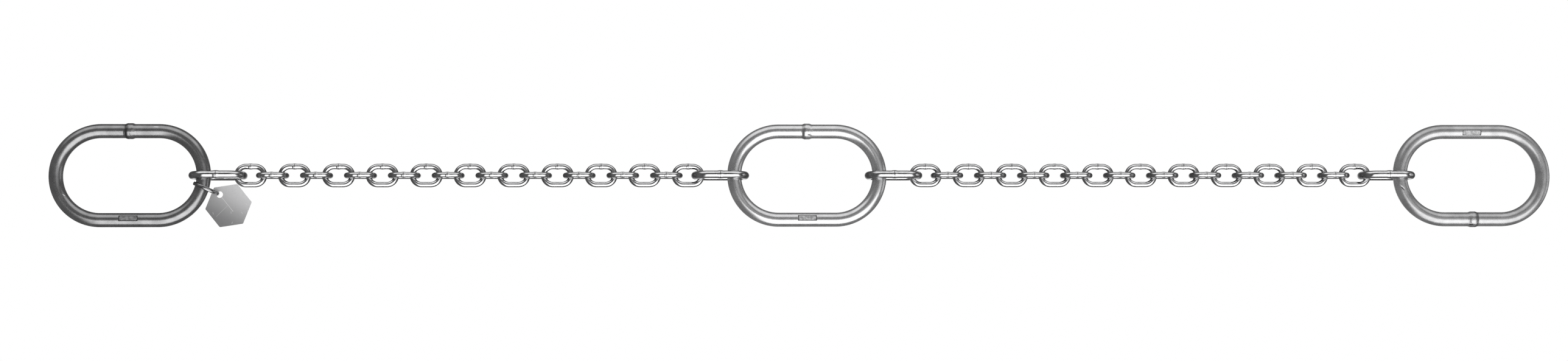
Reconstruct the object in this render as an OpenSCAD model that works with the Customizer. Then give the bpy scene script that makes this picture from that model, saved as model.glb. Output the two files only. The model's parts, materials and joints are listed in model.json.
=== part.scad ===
// Pump lifting chain, hanging straight down from its top master link.
// Units are millimetres. +Z points up, and the origin is where a hook bears:
// the middle of the inner face of the top master link's upper crown.
// Master links and every odd chain link lie in the XZ plane.
// End links and every even chain link lie in the YZ plane.

/* [Master links] */
// Wire diameter of the three oblong master links
master_wire = 13; // [11:0.1:16]
// Inner length of a master link, from crown to crown
master_inner_length = 120; // [100:1:150]
// Inner width of a master link, from leg to leg
master_inner_width = 68; // [56:1:82]
// Height of the weld collar above the wire
master_collar_rise = 0.8; // [0.4:0.1:1.2]
// Length of the weld collar along the leg
master_collar_length = 9; // [6:0.5:14]
// Length of the blank stamping flat on the leg opposite the weld
flat_length = 17; // [10:1:24]
// Depth of the stamping flat below the surface of the wire
flat_depth = 0.5; // [0.3:0.1:0.8]
// How far the flat is turned from the front towards the inside of the link
flat_turn = 12; // [0:1:20]

/* [End links] */
// Wire diameter of the enlarged link at each end of a run
end_wire = 7; // [6:0.1:8.4]
// Inner length of an enlarged link
end_inner_length = 39; // [34:0.5:48]
// Room on each side of the master wire inside an enlarged link
end_side_clearance = 2.5; // [1.5:0.1:4]
// Height of the weld lump above the wire
end_weld_rise = 0.3; // [0.1:0.05:0.6]
// Length of the weld lump along the leg
end_weld_length = 6; // [4:0.5:8]

/* [Chain links] */
// Number of chain links in a run, an odd number
links_per_run = 21; // [3:2:25]
// Wire diameter of a chain link
chain_wire = 5; // [4:0.1:6]
// Inner length of a chain link, which is the pitch of the chain
chain_inner_length = 20; // [18:0.5:26]
// Inner width of a chain link
chain_inner_width = 11.5; // [10:0.5:14]
// Height of the weld lump above the wire
chain_weld_rise = 0.25; // [0.1:0.05:0.5]
// Length of the weld lump along the leg
chain_weld_length = 4.5; // [3:0.5:6]

/* [Tag ring] */
// Wire diameter of the split ring, which has two turns
ring_wire = 1.7; // [1.4:0.1:2.1]
// Inner diameter of the split ring
ring_inner_diameter = 22; // [20:0.5:26]
// Where the ring hangs round the lower crown, in degrees from the bottom
ring_station = 14.7; // [13:0.1:20]
// How far the ring leans out past square to the wire, in degrees
ring_lean = 9.3; // [0:0.1:12]
// Angle that the ring's wire takes to cross from one turn to the other
ring_crossing = 60; // [40:5:90]

/* [Rating tag] */
// Length of each of the tag's six sides
tag_side = 21; // [17:0.1:26]
// Thickness of the tag
tag_thickness = 2; // [1:0.25:3]
// Diameter of the hole that the ring passes through
tag_hole = 6; // [5:0.25:7.5]
// Distance from the middle of the hole to the corner above it
tag_hole_margin = 8.2; // [7.6:0.1:9]
// How far each corner is rounded back
tag_corner_cut = 0.2; // [0.1:0.1:0.8]

/* [Running gaps] */
// Gap left where one link bears on the next
seat_gap = 0.15; // [0.1:0.05:0.3]
// Gap left where the ring bears on the master link and in the tag's hole
ring_gap = 0.3; // [0.2:0.05:0.5]
// Gap between the leaning tag and the chain link that it leans on
tag_gap = 0.3; // [0.2:0.05:0.5]

/* [Hidden] */
$fn = 96;

// Share of a weld's length that each taper takes
master_weld_taper = 0.25;
small_weld_taper = 0.35;

// The end link has to let the master wire through
end_inner_width = master_wire + 2 * end_side_clearance;

// Distance from one link's lower crown wire to the next one's
function step(above_wire, wire, inner_length) =
    inner_length + (wire - above_wire) / 2 - seat_gap;

// Height of the wire's middle at each lower crown
top_seat = -master_inner_length - master_wire / 2;
first_step = step(master_wire, end_wire, end_inner_length);
second_step = step(end_wire, chain_wire, chain_inner_length);
chain_step = step(chain_wire, chain_wire, chain_inner_length);
last_step = step(chain_wire, end_wire, end_inner_length);
master_step = step(end_wire, master_wire, master_inner_length);
function link_drop(i) = first_step + second_step + (i - 1) * chain_step;
run_length = link_drop(links_per_run) + last_step + master_step;
middle_seat = top_seat - run_length;
bottom_seat = middle_seat - run_length;

function two_digits(i) = str(i < 10 ? "0" : "", i);
function link_name(run, i) = str(run, "_link_", two_digits(i));
RUNS = ["upper_run", "lower_run"];
run_top_seats = [top_seat, middle_seat];

master_colour = "dimgray";
chain_colour = "silver";
ring_colour = "darkslategray";
tag_colour = "darkgray";

// Ring: where its wire bears on the master link, and the way it hangs from there
crown_radius = (master_inner_width + master_wire) / 2;
ring_tilt = ring_station + ring_lean;
ring_inner_radius = ring_inner_diameter / 2;
ring_turn_radius = ring_inner_radius + ring_wire / 2;
ring_turn_gap = 0.06;
ring_pitch = ring_wire + ring_turn_gap;
down_ring = [-sin(ring_tilt), 0, -cos(ring_tilt)];
ring_hang = [-crown_radius * sin(ring_station), 0,
    top_seat + crown_radius * (1 - cos(ring_station))];
bearing_height = (master_wire / 2 + ring_pitch / 2 * sin(ring_lean)) / cos(ring_lean);
ring_centre = ring_hang + (ring_inner_radius - bearing_height - ring_gap) * down_ring;

// Tag: the ring lies against the side of the hole
hole_slack = tag_hole / 2 - ring_gap - ring_wire / 2;
hole_shift = sqrt(pow(hole_slack, 2) - pow(ring_pitch / 2, 2));
hole_centre = ring_centre + (ring_turn_radius + hole_shift) * down_ring;

// Tag: it swings down until its corner meets the first chain link's upper crown
tag_hole_reach = tag_side - tag_hole_margin;
corner_from_centre = tag_side - tag_corner_cut / 2;
corner_across = corner_from_centre * sin(60);
corner_along = tag_hole_reach - corner_from_centre * cos(60);
corner_reach = norm([corner_across, corner_along]);
corner_angle = atan2(corner_across, corner_along);
stop_radius = chain_inner_width / 2 + chain_wire + tag_gap;
stop_centre = [0, 0, top_seat - link_drop(1) + chain_inner_length + chain_wire
    - (chain_inner_width + chain_wire) / 2];
to_stop = stop_centre - hole_centre;
stop_distance = norm(to_stop);
stop_cosine = (pow(stop_distance, 2) + pow(corner_reach, 2) - pow(stop_radius, 2))
    / (2 * stop_distance * corner_reach);
tag_swing = corner_angle - atan2(to_stop[0], -to_stop[2]) + acos(min(1, stop_cosine));

// Half of a wire ring round the end of a link, standing on the XY plane
module crown(wire, inner_width) {
    rotate([90, 0, 0])
    rotate_extrude(angle = 180)
    translate([(inner_width + wire) / 2, 0])
    circle(d = wire);
}

// Round steel link in the XZ plane, centred on the origin
module bare_link(wire, inner_length, inner_width) {
    leg = inner_length - inner_width;
    leg_x = (inner_width + wire) / 2;
    translate([0, 0, leg / 2]) crown(wire, inner_width);
    translate([0, 0, -leg / 2]) mirror([0, 0, 1]) crown(wire, inner_width);
    for (x = [-leg_x, leg_x])
        translate([x, 0, -leg / 2]) cylinder(d = wire, h = leg);
}

// Thicker stretch that a weld leaves round a leg, with a taper at each end
module weld_collar(wire, rise, length, taper) {
    collar = wire + 2 * rise;
    translate([0, 0, -length / 2]) cylinder(d1 = wire, d2 = collar, h = taper);
    translate([0, 0, taper - length / 2]) cylinder(d = collar, h = length - 2 * taper);
    translate([0, 0, length / 2 - taper]) cylinder(d1 = collar, d2 = wire, h = taper);
}

// Small link with its weld on the +X leg
module welded_link(wire, inner_length, inner_width, rise, length) {
    bare_link(wire, inner_length, inner_width);
    translate([(inner_width + wire) / 2, 0, 0])
        weld_collar(wire, rise, length, length * small_weld_taper);
}

// Master link, with its weld on the +X leg and the stamping flat on the -X leg
module master_link() {
    leg_x = (master_inner_width + master_wire) / 2;
    color(master_colour)
    difference() {
        union() {
            bare_link(master_wire, master_inner_length, master_inner_width);
            translate([leg_x, 0, 0])
                weld_collar(master_wire, master_collar_rise, master_collar_length,
                    master_collar_length * master_weld_taper);
        }
        translate([-leg_x, 0, 0])
            rotate([0, 0, flat_turn])
            translate([-master_wire / 2, -master_wire, -flat_length / 2])
            cube([master_wire, master_wire / 2 + flat_depth, flat_length]);
    }
}

module end_link() {
    color(chain_colour)
    rotate([0, 0, -90])
    welded_link(end_wire, end_inner_length, end_inner_width, end_weld_rise, end_weld_length);
}

// Odd links face the front, and even links are turned edge on with the weld in front
module chain_link(i) {
    color(chain_colour)
    rotate([0, 0, i % 2 == 1 ? 0 : -90])
    welded_link(chain_wire, chain_inner_length, chain_inner_width,
        chain_weld_rise, chain_weld_length);
}

// Places a link by the height of the wire's middle at its lower crown
module hung(seat, wire, inner_length) {
    translate([0, 0, seat + (inner_length + wire) / 2]) children();
}

// Points round the ring's wire, and the path of its two turns
ring_sides = 12;
ring_steps = 72;
ring_sweep = 720 - ring_crossing / 3;
function smooth(t) = t <= 0 ? 0 : t >= 1 ? 1 : t * t * (3 - 2 * t);
function ring_height(a) =
    ring_pitch * (smooth((a - 360 + ring_crossing / 2) / ring_crossing) - 0.5);
function ring_section(a) = [
    for (k = [0 : ring_sides - 1])
        let (b = 360 * k / ring_sides, r = ring_turn_radius + ring_wire / 2 * cos(b))
        [r * cos(a), r * sin(a), ring_height(a) + ring_wire / 2 * sin(b)]
];

// Split ring of two touching turns in the XY plane, crossing over at +X
module split_ring() {
    points = [for (n = [0 : ring_steps])
        each ring_section(ring_sweep * n / ring_steps + 360 - ring_sweep / 2)];
    sides = [
        for (n = [0 : ring_steps - 1], k = [0 : ring_sides - 1])
            let (a = n * ring_sides + k, b = n * ring_sides + (k + 1) % ring_sides)
            [a, b, b + ring_sides, a + ring_sides]
    ];
    first_end = [for (k = [ring_sides - 1 : -1 : 0]) k];
    last_end = [for (k = [0 : ring_sides - 1]) ring_steps * ring_sides + k];
    polyhedron(points, concat([first_end, last_end], sides), convexity = 8);
}

// The ring hangs edge on to the front, with its crossing at the back
module tag_ring() {
    color(ring_colour)
    translate(ring_centre)
    rotate([0, 90 + ring_tilt, 0])
    rotate([0, 0, 90])
    split_ring();
}

// Hexagonal tag with its hole at the origin, drawn hanging straight down
module tag_plate() {
    translate([0, 0, -tag_hole_reach])
    rotate([90, 0, 0])
    linear_extrude(tag_thickness, center = true)
    difference() {
        intersection() {
            rotate(90) circle(r = tag_side, $fn = 6);
            circle(r = tag_side - tag_corner_cut);
        }
        translate([0, tag_hole_reach]) circle(d = tag_hole);
    }
}

module rating_tag() {
    color(tag_colour)
    translate(hole_centre)
    rotate([0, tag_swing, 0])
    tag_plate();
}

hung(top_seat, master_wire, master_inner_length) master_link();  // top_master_link
hung(middle_seat, master_wire, master_inner_length) master_link();  // middle_master_link
hung(bottom_seat, master_wire, master_inner_length) rotate([0, 180, 0]) master_link();  // bottom_master_link
for (r = [0, 1]) {
    run_top = run_top_seats[r];
    hung(run_top - first_step, end_wire, end_inner_length) end_link();
    for (i = [1 : links_per_run])
        hung(run_top - link_drop(i), chain_wire, chain_inner_length) chain_link(i);
    hung(run_top - link_drop(links_per_run) - last_step, end_wire, end_inner_length)
            end_link();
}
tag_ring();
rating_tag();
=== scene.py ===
"""Looks of the pump lifting chain. Metres: it hangs along -Z from the origin, and +X is up in the picture."""
import json
import math

import bmesh
import bpy
from mathutils import Matrix, Vector


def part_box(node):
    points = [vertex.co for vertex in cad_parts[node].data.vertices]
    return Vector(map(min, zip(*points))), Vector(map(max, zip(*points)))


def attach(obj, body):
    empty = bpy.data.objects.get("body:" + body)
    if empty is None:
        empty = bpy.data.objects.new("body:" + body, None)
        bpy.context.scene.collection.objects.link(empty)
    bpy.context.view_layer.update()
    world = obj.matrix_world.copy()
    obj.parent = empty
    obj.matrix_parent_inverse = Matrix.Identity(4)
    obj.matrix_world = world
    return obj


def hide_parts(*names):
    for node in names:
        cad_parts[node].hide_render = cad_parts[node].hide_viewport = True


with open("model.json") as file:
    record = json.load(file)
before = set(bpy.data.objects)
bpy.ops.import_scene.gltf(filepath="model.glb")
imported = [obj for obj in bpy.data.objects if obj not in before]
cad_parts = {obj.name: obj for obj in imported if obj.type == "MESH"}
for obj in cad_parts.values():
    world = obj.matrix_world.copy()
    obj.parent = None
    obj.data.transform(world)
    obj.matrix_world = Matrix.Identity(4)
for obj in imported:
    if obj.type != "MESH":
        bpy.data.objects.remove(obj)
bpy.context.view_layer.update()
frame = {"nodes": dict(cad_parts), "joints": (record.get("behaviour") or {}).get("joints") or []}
scene = bpy.context.scene

MM = 0.001


# Places taken from the frame

MASTERS = ("top_master_link", "middle_master_link", "bottom_master_link")
SMALL_LINKS = [name for name in frame["nodes"] if name.startswith(("upper_run", "lower_run"))]


def middle(name):
    low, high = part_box(name)
    return (Vector(low) + Vector(high)) / 2


def height(name):
    low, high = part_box(name)
    return high[2] - low[2]


def joint(name):
    return next(hinge for hinge in frame["joints"] if hinge["name"] == name)


def link_kind(name):
    """A small link is an end link, or lies face on or edge on in the picture. The odd ones lie face on."""
    if name.endswith("end_link"):
        return "end"
    return "face" if int(name[-2:]) % 2 else "edge"


# Node trees

# Nearly all of a noise lies between these two values
NOISE_LOW, NOISE_HIGH = 0.3, 0.7
# Where a mark fades out, as shares of its half width for a stroke and of its half axes for a blot
STROKE_EDGE, BLOT_EDGE = (0.5, 1.3), (0.35, 1.25)


class Nodes:
    """Short calls that add nodes to a tree and join them. A value is a number or a socket of another node."""

    def __init__(self, tree):
        self.tree = tree

    def add(self, kind, **settings):
        made = self.tree.nodes.new(kind)
        for key, value in settings.items():
            setattr(made, key, value)
        return made

    def join(self, source, target):
        self.tree.links.new(source, target)

    def calculate(self, operation, first, second=0.0):
        made = self.add("ShaderNodeMath", operation=operation)
        for value, socket in zip((first, second), made.inputs):
            if isinstance(value, (int, float)):
                socket.default_value = value
            else:
                self.join(value, socket)
        return made.outputs[0]

    def plus(self, first, second):
        return self.calculate("ADD", first, second)

    def minus(self, first, second):
        return self.calculate("SUBTRACT", first, second)

    def times(self, first, second):
        return self.calculate("MULTIPLY", first, second)

    def largest(self, first, second):
        return self.calculate("MAXIMUM", first, second)

    def size(self, value):
        return self.calculate("ABSOLUTE", value)

    def diagonal(self, first, second):
        return self.calculate("SQRT", self.plus(self.times(first, first), self.times(second, second)))

    def rise(self, value, low, high, out_low=0.0, out_high=1.0):
        """A smooth step from out_low, where the value is low, to out_high, where it is high."""
        made = self.add("ShaderNodeMapRange", interpolation_type="SMOOTHSTEP")
        made.inputs["From Min"].default_value = low
        made.inputs["From Max"].default_value = high
        made.inputs["To Min"].default_value = out_low
        made.inputs["To Max"].default_value = out_high
        self.join(value, made.inputs["Value"])
        return made.outputs["Result"]

    def fall(self, value, low, high):
        """A smooth step from 1, where the value is low, to 0, where it is high."""
        return self.rise(value, low, high, 1.0, 0.0)

    def split(self, vector):
        made = self.add("ShaderNodeSeparateXYZ")
        self.join(vector, made.inputs[0])
        return made.outputs


class Surface(Nodes):
    """A material, with its own places, noises, marks and bumps."""

    def __init__(self, name, colour, metallic=1.0, roughness=0.3):
        self.material = bpy.data.materials.new(name)
        self.material.use_nodes = True
        super().__init__(self.material.node_tree)
        self.shader = self.tree.nodes["Principled BSDF"]
        self.shader.inputs["Base Color"].default_value = (*colour, 1)
        self.shader.inputs["Metallic"].default_value = metallic
        self.shader.inputs["Roughness"].default_value = roughness
        coords = self.add("ShaderNodeTexCoord")
        self.place = coords.outputs["Object"]
        self.place_in_box = coords.outputs["Generated"]

    def set(self, **sockets):
        for name, value in sockets.items():
            self.join(value, self.shader.inputs[name.replace("_", " ")])

    def noise(self, scale, detail, stretch=(1, 1, 1), rough=0.55):
        """Noise with so many cells per metre."""
        mapping = self.add("ShaderNodeMapping")
        mapping.inputs["Scale"].default_value = stretch
        self.join(self.place, mapping.inputs["Vector"])
        made = self.add("ShaderNodeTexNoise")
        made.inputs["Scale"].default_value = scale
        made.inputs["Detail"].default_value = detail
        made.inputs["Roughness"].default_value = rough
        self.join(mapping.outputs[0], made.inputs["Vector"])
        return made.outputs["Fac"]

    def vary(self, noise, low=0.0, high=1.0):
        return self.rise(noise, NOISE_LOW, NOISE_HIGH, low, high)

    def wander(self, scale, reach):
        """An uneven length to add to a place, half of reach at the most to either side."""
        return self.times(self.minus(self.noise(scale, detail=2), 0.5), reach)

    def mix(self, factor, first, second):
        """Mixes two colours, each three numbers or a socket."""
        made = self.add("ShaderNodeMix", data_type="RGBA")
        self.join(factor, made.inputs["Factor"])
        for value, name in ((first, "A"), (second, "B")):
            socket = next(end for end in made.inputs if end.name == name and end.type == "RGBA")
            if isinstance(value, tuple):
                socket.default_value = (*value, 1)
            else:
                self.join(value, socket)
        return next(end for end in made.outputs if end.type == "RGBA")

    def bump(self, height, strength, distance, soften=0.0):
        """A bumped normal. soften is the radius over which hard edges, such as a collar's, look rounded."""
        made = self.add("ShaderNodeBump")
        made.inputs["Strength"].default_value = strength
        made.inputs["Distance"].default_value = distance
        self.join(height, made.inputs["Height"])
        if soften:
            rounded = self.add("ShaderNodeBevel", samples=6)
            rounded.inputs["Radius"].default_value = soften
            self.join(rounded.outputs[0], made.inputs["Normal"])
        return made.outputs[0]

    def off_middle(self, axis):
        """How far a point is from the middle of its node's box along one axis: 0 there, and 1 at the ends."""
        return self.times(self.size(self.minus(self.split(self.place_in_box)[axis], 0.5)), 2.0)

    def local(self, middle, angle):
        """Coordinates from a place, turned by an angle about Y."""
        made = self.add("ShaderNodeMapping", vector_type="TEXTURE")
        made.inputs["Location"].default_value = middle
        made.inputs["Rotation"].default_value = (0, angle, 0)
        self.join(self.place, made.inputs["Vector"])
        return made.outputs[0]

    def stroke(self, middle, angle, half_length, half_width):
        """1 on a straight mark in the XZ plane that runs along Z before it is turned, and 0 elsewhere."""
        x, _, z = self.split(self.local(middle, angle))
        across = self.fall(self.size(x), *(share * half_width for share in STROKE_EDGE))
        return self.times(across, self.fall(self.size(z), half_length, half_length + half_width))

    def blot(self, middle, angle, half_length, half_width):
        """1 in a soft, uneven oval in the XZ plane that lies along Z before it is turned, and 0 outside."""
        x, _, z = self.split(self.local(middle, angle))
        x = self.calculate("DIVIDE", x, half_width)
        z = self.calculate("DIVIDE", z, half_length)
        return self.fall(self.plus(self.diagonal(x, z), self.wander(scale=900, reach=1.0)), *BLOT_EDGE)


# Materials

BURNT_TONE = 0.08
SCRATCH_TONE, SCRATCH_STRENGTH = 0.8, 0.13

# Master links. The stamping flat lies on the front of one leg: its place and reach are from the link's middle
FLAT_LENGTH, FLAT_WIDTH = 17 * MM, 4.9 * MM
FLAT_PLACE, FLAT_REACH = 39.25 * MM, 5.0 * MM
FLAT_RIM, FLAT_CORNER = 0.5 * MM, 1.3 * MM
FLAT_EDGE_BLUR = 0.2 * MM
# The flat's rim is painted shade, at this share of the link's tone
FLAT_RIM_PAINTED_SHADE = 0.28
FLAT_WEAR_SHADES = (0.62, 1.1)
# How much less metallic and how much rougher the flat is than the link
FLAT_DULLNESS, FLAT_ROUGHNESS = 0.35, 0.15

# The weld is on the other leg, which is all that lies further out than WELD_LEG
WELD_LEG, WELD_LEG_BLUR = 31 * MM, 1.0 * MM
COLLAR_LENGTH, COLLAR_END = 9.5 * MM, 1.0 * MM
COLLAR_LUMPS = 34.0
SEAM_PLACE, SEAM_WANDER = 3.0 * MM, 2.4 * MM
SEAM_HALF_WIDTH, SEAM_BLUR = 1.6 * MM, 0.6 * MM

# Nicks are short scratches and notches on the front: up and left in the picture from the link's middle, half
# length and half width, all in mm, with the turn in degrees and the tone at the end. A bright nick beside a
# dark one paints the glint and the shade of one notch, as on the middle link's collar and by the bottom
# link's crown
NICK_FRONT, NICK_STRENGTH = 2 * MM, 0.95
MASTER_STEELS = {
    "top_master_link": dict(
        name="dark_master_steel", base=0.32, dark=0.24, metallic=0.88, roughness=0.24,
        seam=0.75, flat_side=-1,
        nicks=((-18.5, 58.0, 1.9, 0.35, 30, 0.8),
               (43.5, -24.0, 2.6, 0.3, 4, 0.7))),
    "middle_master_link": dict(
        name="pale_master_steel", base=0.62, dark=0.51, metallic=0.85, roughness=0.24,
        seam=0.45, flat_side=-1,
        nicks=((36.4, -2.1, 2.1, 0.75, 0, 0.02),
               (35.2, -3.4, 1.4, 0.6, 12, 0.9))),
    "bottom_master_link": dict(
        name="grey_master_steel", base=0.46, dark=0.35, metallic=0.74, roughness=0.28,
        seam=0.65, flat_side=1,
        nicks=((-10.7, 65.9, 3.4, 0.8, 46, 1.0),
               (-12.0, 65.8, 2.8, 0.6, 46, 0.03),
               (-45.3, 2.3, 2.6, 0.6, 0, 0.03))),
}

# Small links. crown is where the painted shade at the ends, where links bear on each other, begins, and
# weld_length how far the weld reaches, both as shares of the way from the link's middle to its end, and dull
# is how strong that painted shade and the added roughness are. Links that lie edge on get the stronger
# painted shade
LINK_STEELS = {
    "face": dict(name="face_link_steel", base=0.66, dark=0.54, crown=0.62, dull=0.45, weld_length=0.15),
    "edge": dict(name="edge_link_steel", base=0.66, dark=0.54, crown=0.60, dull=0.8, weld_length=0.15),
    "end": dict(name="end_link_steel", base=0.64, dark=0.52, crown=0.72, dull=0.8, weld_length=0.12),
}
LINK_ROUGHNESS = 0.09
# How soft the edge of the links' ends is, and the tones of the painted shade on them, where links bear
BEARING_BLUR, BEARING_SHADE_TONES = 0.2, (0.07, 0.30)
# The seam's inner and outer edge, as shares of weld_length
LINK_SEAM, LINK_SEAM_STRENGTH = (0.08, 0.2), 0.75
# Where the upper leg begins across a link's box, and where the front leg ends through it
UPPER_LEG, FRONT_LEG = (0.6, 0.7), (0.3, 0.4)

# Painted light: the tag is painted lighter towards the top and the right of the picture, in these shares
TAG_PAINTED_LIGHT_UP, TAG_PAINTED_LIGHT_RIGHT = 0.62, 0.38
GRAIN_TONE, GRAIN_STRENGTH = 0.3, 0.12
MARK_TONE, MARK_STRENGTH = 0.9, 0.65

# The tag's scored line starts this far below the hole's middle, and ends this far below the tag's own middle
SCORE_START, SCORE_END = 3.75 * MM, 6.95 * MM
SCORE_HALF_WIDTH = 0.24 * MM

# Bare marks on the tag, a faint cross line and ticks: across and down from its middle when it hangs straight,
# half length and half width, all in mm, with the turn in degrees and the strength at the end
TAG_MARKS = (
    (-7.6, 0.4, 7.0, 0.25, 84, 0.35),
    (-15.0, -3.0, 0.9, 0.3, 20, 0.5),
    (6.5, -15.0, 0.9, 0.3, -40, 0.5),
    (13.5, 9.0, 0.9, 0.3, 15, 0.5),
    (-2.0, 6.5, 0.9, 0.3, 30, 0.5),
    (-7.0, 14.5, 0.9, 0.3, 60, 0.5),
    (5.5, 13.0, 0.9, 0.3, 0, 0.5),
)


def grey(value):
    """A grey with a trace of blue."""
    return (value, value, value * 1.01)


def flat_masks(steel, along, side, y):
    """1 on the whole stamping flat, and 1 on its worn middle, inside the rim."""

    def outside(inset, corner):
        """How far a point is outside the flat's outline, when that is drawn in and has round corners."""
        length = steel.largest(steel.minus(steel.size(along), FLAT_LENGTH / 2 - inset - corner), 0.0)
        width = steel.minus(steel.size(steel.minus(side, FLAT_PLACE)), FLAT_WIDTH / 2 - inset - corner)
        return steel.minus(steel.diagonal(length, steel.largest(width, 0.0)), corner)

    front = steel.fall(y, -FLAT_REACH - FLAT_EDGE_BLUR, -FLAT_REACH + FLAT_EDGE_BLUR)
    whole = steel.fall(outside(0.0, 0.0), 0.0, FLAT_EDGE_BLUR)
    worn = steel.fall(outside(FLAT_RIM, FLAT_CORNER), -FLAT_RIM / 2, FLAT_RIM / 2)
    return steel.times(whole, front), steel.times(worn, front)


def weld_masks(steel, along, side, seam_side):
    """1 on the burnt seam at one side of the weld, and 1 on its collar."""
    leg = steel.fall(side, -WELD_LEG - WELD_LEG_BLUR, -WELD_LEG + WELD_LEG_BLUR)
    from_seam = steel.size(steel.plus(along, seam_side * SEAM_PLACE))
    from_seam = steel.plus(from_seam, steel.wander(scale=300, reach=SEAM_WANDER))
    seam = steel.fall(from_seam, SEAM_HALF_WIDTH - SEAM_BLUR, SEAM_HALF_WIDTH + SEAM_BLUR)
    collar = steel.fall(steel.size(along), COLLAR_LENGTH / 2, COLLAR_LENGTH / 2 + COLLAR_END)
    return steel.times(seam, leg), steel.times(collar, leg)


def satin_steel(link, name, base, dark, metallic, roughness, seam, flat_side, nicks):
    """Tumbled stainless steel of one master link: cloudy tone, fine pits and short scratches. The stamping
    flat is dull and worn inside a rim of painted shade. The weld collar on the other leg is uneven, with a
    dark seam at one side of it. flat_side is the sign of X on the flat's leg, and seam says how dark the seam
    is."""
    steel = Surface(name, grey(base), metallic=metallic, roughness=roughness)
    pits = steel.noise(scale=1500, detail=3)
    scratches = steel.rise(steel.noise(scale=420, detail=2, stretch=(6, 1, 1), rough=0.7), 0.62, 0.72)
    tone = steel.mix(steel.vary(steel.noise(scale=90, detail=4)), grey(dark), grey(base))
    tone = steel.mix(steel.times(scratches, SCRATCH_STRENGTH), tone, grey(SCRATCH_TONE))

    x, y, _ = steel.split(steel.place)
    along = steel.times(steel.minus(steel.split(steel.place_in_box)[2], 0.5), height(link))
    side = steel.times(x, flat_side)
    whole_flat, worn_flat = flat_masks(steel, along, side, y)
    burnt, collar = weld_masks(steel, along, side, flat_side)

    wear_low, wear_high = FLAT_WEAR_SHADES
    rubbed = steel.rise(steel.noise(scale=480, detail=3), 0.36, 0.64)
    mottled_tone = steel.mix(rubbed, grey(base * wear_low), grey(base * wear_high))
    # Painted shade in a rim round the flat; the worn middle is drawn over it next
    tone = steel.mix(whole_flat, tone, grey(base * FLAT_RIM_PAINTED_SHADE))
    tone = steel.mix(worn_flat, tone, mottled_tone)
    tone = steel.mix(steel.times(burnt, seam), tone, grey(BURNT_TONE))

    front = steel.fall(y, -NICK_FRONT, 0.0)
    # A nick's tone is a mark on the steel; a bright nick beside a dark one is a painted glint and painted
    # shade of one notch
    for upward, leftward, half_length, half_width, turn, nick_tone_and_painted_light in nicks:
        place = middle(link) + Vector((upward, 0, leftward)) * MM
        nick = steel.blot(place, math.radians(turn), half_length * MM, half_width * MM)
        tone = steel.mix(steel.times(steel.times(nick, front), NICK_STRENGTH), tone, grey(nick_tone_and_painted_light))

    lumps = steel.times(collar, steel.times(steel.noise(scale=270, detail=2), COLLAR_LUMPS))
    rough = steel.vary(pits, roughness - 0.04, roughness + 0.05)
    steel.set(Base_Color=tone,
              Metallic=steel.minus(metallic, steel.times(worn_flat, FLAT_DULLNESS)),
              Roughness=steel.plus(rough, steel.times(whole_flat, FLAT_ROUGHNESS)),
              Normal=steel.bump(steel.plus(pits, lumps), strength=0.25, distance=0.04 * MM, soften=0.9 * MM))
    return steel.material


def polished_steel(face_on, name, base, dark, crown, dull, weld_length):
    """Bright steel with the slight waves of a barrel-polished surface, rougher and painted with shade where
    links bear. The weld is on the upper leg of a link that lies face on, and on the front leg of one that is
    edge on."""
    steel = Surface(name, grey(base), roughness=LINK_ROUGHNESS)
    clouds = steel.noise(scale=260, detail=3)
    along = steel.off_middle(2)
    shaded_bearing = steel.rise(along, crown, crown + BEARING_BLUR)
    x, y, _ = steel.split(steel.place_in_box)
    leg = steel.rise(x, *UPPER_LEG) if face_on else steel.fall(y, *FRONT_LEG)
    weld = steel.times(steel.fall(along, weld_length * 0.5, weld_length), leg)
    from_seam = steel.plus(along, steel.wander(scale=700, reach=weld_length * 0.5))
    seam = steel.times(steel.fall(from_seam, *(share * weld_length for share in LINK_SEAM)), leg)

    tone = steel.mix(steel.rise(clouds, 0.3, 0.65), grey(dark), grey(base))
    # Painted shade at the ends, where the links bear on and shade each other, with a mottle; dull sets how
    # strong
    mottled_tone = steel.mix(steel.rise(steel.noise(scale=1100, detail=2), 0.36, 0.62), *map(grey, BEARING_SHADE_TONES))
    tone = steel.mix(steel.times(shaded_bearing, dull), tone, mottled_tone)
    tone = steel.mix(steel.times(seam, LINK_SEAM_STRENGTH), tone, grey(BURNT_TONE))
    rough = steel.vary(clouds, LINK_ROUGHNESS - 0.03, LINK_ROUGHNESS + 0.04)
    rough = steel.plus(rough, steel.times(weld, 0.1))
    waves = steel.plus(steel.noise(scale=300, detail=2), steel.times(weld, steel.noise(scale=900, detail=2)))
    steel.set(Base_Color=tone,
              Roughness=steel.plus(rough, steel.times(shaded_bearing, dull * 0.25)),
              Normal=steel.bump(waves, strength=0.35, distance=0.12 * MM, soften=0.7 * MM))
    return steel.material


def spring_steel(name, base, dark, roughness):
    """Dark drawn wire with fine streaks."""
    steel = Surface(name, grey(base), roughness=roughness)
    streaks = steel.noise(scale=1200, detail=3)
    steel.set(Base_Color=steel.mix(steel.vary(streaks), grey(dark), grey(base)),
              Roughness=steel.vary(streaks, roughness - 0.03, roughness + 0.05),
              Normal=steel.bump(streaks, strength=0.05, distance=0.02 * MM))
    return steel.material


def tag_marks(steel, front):
    """The scored line and the bare marks on the front of the tag, from 0 to 1."""
    hole = Vector(joint("rating_tag_swing")["pos_m"])
    to_middle = middle("rating_tag") - hole
    reach = math.hypot(to_middle.x, to_middle.z)
    lean = math.atan2(-to_middle.x, -to_middle.z)

    def on_tag(across, down):
        """The place that lies so far across and down from the hole when the tag hangs straight."""
        return hole + Matrix.Rotation(lean, 3, "Y") @ Vector((across, 0, -down))

    marks = steel.stroke(on_tag(0, (SCORE_START + reach + SCORE_END) / 2), lean,
                         (reach + SCORE_END - SCORE_START) / 2, SCORE_HALF_WIDTH)
    for across, down, half_length, half_width, turn, strength in TAG_MARKS:
        mark = steel.stroke(on_tag(across * MM, reach + down * MM), lean + math.radians(turn),
                            half_length * MM, half_width * MM)
        marks = steel.largest(marks, steel.times(mark, strength))
    return steel.times(marks, front)


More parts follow.
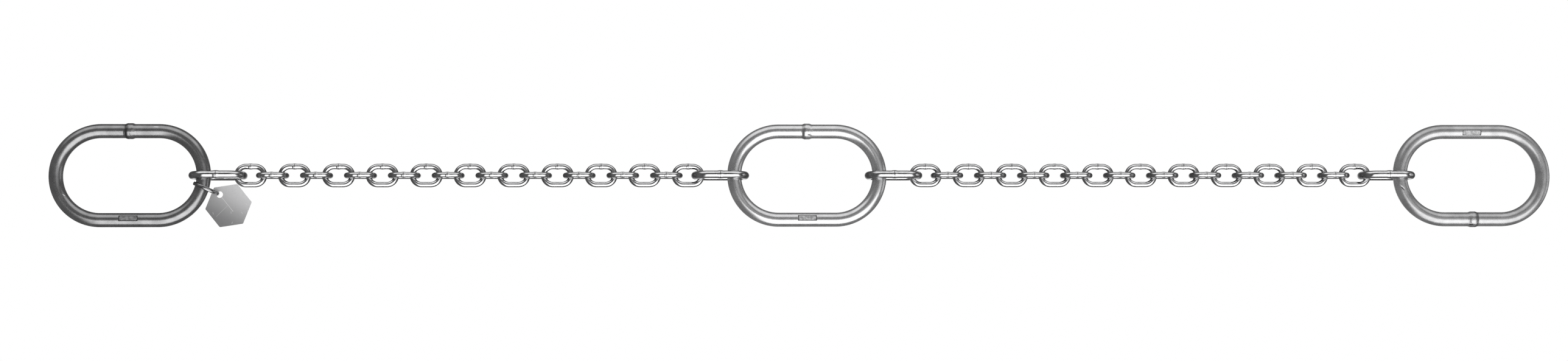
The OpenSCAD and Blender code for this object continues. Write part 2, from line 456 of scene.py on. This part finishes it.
def sheet_steel(name, base, dark, roughness):
    """Matt rolled sheet with painted light, lighter towards the chain, with a scored line and a few bare
    ticks.
    """
    steel = Surface(name, grey(base), metallic=0.6, roughness=roughness)
    x, y, z = steel.split(steel.place_in_box)
    # Painted light, lighter towards the top and the right of the picture
    light = steel.plus(steel.times(x, TAG_PAINTED_LIGHT_UP), steel.times(steel.minus(1.0, z), TAG_PAINTED_LIGHT_RIGHT))
    grain = steel.noise(scale=700, detail=3)
    marks = tag_marks(steel, steel.fall(y, 0.1, 0.3))
    tone = steel.mix(steel.rise(light, 0.15, 0.95), grey(dark), grey(base))
    speckle = steel.times(steel.rise(grain, 0.2, 0.8), GRAIN_STRENGTH)
    tone = steel.mix(speckle, tone, grey(GRAIN_TONE))
    steel.set(Base_Color=steel.mix(steel.times(marks, MARK_STRENGTH), tone, grey(MARK_TONE)),
              Roughness=steel.vary(grain, roughness - 0.03, roughness + 0.05),
              Normal=steel.bump(steel.minus(steel.times(grain, 0.1), marks), strength=0.3, distance=0.1 * MM))
    return steel.material


def give(name, material):
    for slot in frame["nodes"][name].material_slots:
        slot.material = material


ring_steel = spring_steel("ring_steel", base=0.36, dark=0.26, roughness=0.20)
link_steels = {kind: polished_steel(kind == "face", **look) for kind, look in LINK_STEELS.items()}

for name in MASTERS:
    give(name, satin_steel(name, **MASTER_STEELS[name]))
for name in SMALL_LINKS:
    give(name, link_steels[link_kind(name)])
give("rating_tag", sheet_steel("tag_steel", base=0.86, dark=0.25, roughness=0.42))


# Split ring: it stands for the plain round one of the frame, and has half-round wire

RING_WIRE, RING_INNER_DIAMETER = 1.7 * MM, 22.0 * MM
RING_SEAM = 0.06 * MM
RING_CROSSING = math.radians(60)
RING_STEPS, RING_SIDE_POINTS = 240, 11
# The width of a turn's flat side, as a share of the wire
RING_FLAT_SIDE = 0.86
MERGE_DISTANCE = 0.002 * MM


def ring_section(outward):
    """Points round the wire as (across, along the ring's axis). outward runs from -1 on one turn to 1 on the
    other: there the wire is half round, flat towards the other turn. It is round where it crosses over."""
    points = []
    for side in (1, -1):
        for i in range(RING_SIDE_POINTS):
            along = -side * math.cos(math.pi * i / (RING_SIDE_POINTS - 1))
            out = along if outward >= 0 else -along
            half_round = math.sqrt(max(0.0, 1 - ((out + 1) / 2) ** 2))
            if out < -0.99:
                half_round *= RING_FLAT_SIDE
            round_wire = math.sqrt(max(0.0, 1 - along * along))
            width = round_wire + (half_round - round_wire) * abs(outward)
            points.append((side * width * RING_WIRE / 2, along * RING_WIRE / 2))
    return points


def ring_mesh(centre, axis):
    """Two turns of wire round the axis that lie on each other, with open ends and one crossing."""
    front = Vector((0, -1, 0))
    side = axis.cross(front)
    turn_radius = (RING_INNER_DIAMETER + RING_WIRE) / 2
    sweep = 4 * math.pi - RING_CROSSING / 3
    shape = bmesh.new()
    sections = []
    for n in range(RING_STEPS + 1):
        angle = sweep * (n / RING_STEPS - 0.5)
        crossed = min(1.0, max(0.0, angle / RING_CROSSING + 0.5))
        outward = 2 * crossed * crossed * (3 - 2 * crossed) - 1
        way = -math.cos(angle) * front + math.sin(angle) * side
        lift = outward * (RING_WIRE + RING_SEAM) / 2
        sections.append([shape.verts.new(centre + (turn_radius + across) * way + (lift + along) * axis)
                         for across, along in ring_section(outward)])
    for first, second in zip(sections, sections[1:]):
        for k in range(len(first)):
            after = (k + 1) % len(first)
            shape.faces.new((first[k], first[after], second[after], second[k]))
    shape.faces.new(sections[0])
    shape.faces.new(sections[-1])
    bmesh.ops.remove_doubles(shape, verts=shape.verts, dist=MERGE_DISTANCE)
    bmesh.ops.recalc_face_normals(shape, faces=shape.faces)
    mesh = bpy.data.meshes.new("split_ring")
    shape.to_mesh(mesh)
    shape.free()
    mesh.polygons.foreach_set("use_smooth", [True] * len(mesh.polygons))
    return mesh


def add_split_ring():
    axis = -Vector(joint("tag_ring_swing")["axis"]).normalized()
    ring = bpy.data.objects.new("split_ring", ring_mesh(middle("tag_ring"), axis))
    scene.collection.objects.link(ring)
    ring.data.materials.append(ring_steel)
    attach(ring, "tag_ring")
    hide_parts("tag_ring")


add_split_ring()


# World: the camera and the floor see a plain white studio, and polished metal sees its lights

# Softboxes in degrees from the way to the camera: from and to up the picture, from and to at its right, and
# the strength
SOFTBOXES = (
    (-72, -8, -18, 44, 2.5),
    (42, 93, -42, 46, 1.1),
    (-4, 20, 8, 52, 0.45),
)
SOFTBOX_BLUR_UP, SOFTBOX_BLUR_RIGHT = 5.0, 10.0
# The bright wall behind the chain begins where the Y of a ray's direction is between these two values
BACKDROP_EDGE = (0.86, 0.96)
# The light that comes from everywhere else
SURROUNDINGS = 0.12


def studio_world():
    world = bpy.data.worlds.new("studio")
    scene.world = world
    world.use_nodes = True
    world.node_tree.nodes.clear()
    sky = Nodes(world.node_tree)
    x, y, z = sky.split(sky.add("ShaderNodeTexCoord").outputs["Generated"])
    to_degrees = 180 / math.pi
    up = sky.times(sky.calculate("ARCTAN2", x, sky.times(y, -1.0)), to_degrees)
    right = sky.times(sky.calculate("ARCSINE", sky.times(z, -1.0)), to_degrees)

    def between(angle, low, high, blur):
        return sky.times(sky.rise(angle, low - blur, low + blur), sky.fall(angle, high - blur, high + blur))

    lights = sky.plus(sky.rise(y, *BACKDROP_EDGE), SURROUNDINGS)
    for up_low, up_high, right_low, right_high, strength in SOFTBOXES:
        softbox = sky.times(between(up, up_low, up_high, SOFTBOX_BLUR_UP),
                            between(right, right_low, right_high, SOFTBOX_BLUR_RIGHT))
        lights = sky.plus(lights, sky.times(softbox, strength))

    path = sky.add("ShaderNodeLightPath").outputs
    mirrored = sky.largest(path["Is Glossy Ray"], path["Is Transmission Ray"])
    background = sky.add("ShaderNodeBackground")
    background.inputs["Color"].default_value = (1, 1, 1, 1)
    sky.join(sky.plus(sky.minus(1.0, mirrored), sky.times(mirrored, lights)), background.inputs["Strength"])
    output = sky.add("ShaderNodeOutputWorld")
    sky.join(background.outputs[0], output.inputs["Surface"])


studio_world()


# Floor: pale, and white at its edge, where it runs into the studio

FLOOR_HEIGHT = -3.4
FLOOR_RADIUS, FLOOR_FADE_RADIUS = 0.8, 0.24
FLOOR_SIDES = 96
FLOOR_TONE = 0.9


def add_floor():
    paint = Surface("floor_paint", grey(FLOOR_TONE), metallic=0.0, roughness=0.8)
    x, y, _ = paint.split(paint.place)
    fade = paint.rise(paint.diagonal(x, y), FLOOR_FADE_RADIUS, FLOOR_RADIUS)
    paint.set(Base_Color=paint.mix(fade, grey(FLOOR_TONE), (1.0, 1.0, 1.0)))

    mesh = bpy.data.meshes.new("floor")
    shape = bmesh.new()
    bmesh.ops.create_circle(shape, cap_ends=True, radius=FLOOR_RADIUS, segments=FLOOR_SIDES)
    shape.to_mesh(mesh)
    shape.free()
    mesh.materials.append(paint.material)
    floor = bpy.data.objects.new("floor", mesh)
    floor.location = (0, 0, FLOOR_HEIGHT)
    scene.collection.objects.link(floor)


add_floor()


# Camera, fitted to the link centres and the three master links in the photograph

CAMERA_PLACE = Vector((-0.2234, -2.5, -0.5556))
CAMERA_YAW = math.radians(2.240)
CAMERA_PITCH = math.radians(5.0)
CAMERA_ROLL = math.radians(-0.199)
FOCAL_PIXELS, PHOTO_WIDTH_PIXELS = 4510, 2576
SENSOR_WIDTH = 36.0


def add_camera():
    data = bpy.data.cameras.new("camera")
    data.sensor_width = SENSOR_WIDTH
    data.lens = FOCAL_PIXELS / PHOTO_WIDTH_PIXELS * SENSOR_WIDTH
    data.clip_end = 100
    camera = bpy.data.objects.new("camera", data)
    scene.collection.objects.link(camera)
    scene.camera = camera
    # Looking along +Y with +X upwards, then turned about its own axes
    level = Matrix(((0, 1, 0), (0, 0, -1), (-1, 0, 0))).to_4x4()
    turn = (Matrix.Rotation(-CAMERA_YAW, 4, "Y") @ Matrix.Rotation(CAMERA_PITCH, 4, "X")
            @ Matrix.Rotation(CAMERA_ROLL, 4, "Z"))
    camera.matrix_world = Matrix.Translation(CAMERA_PLACE) @ level @ turn


add_camera()
scene.view_settings.view_transform = "Standard"
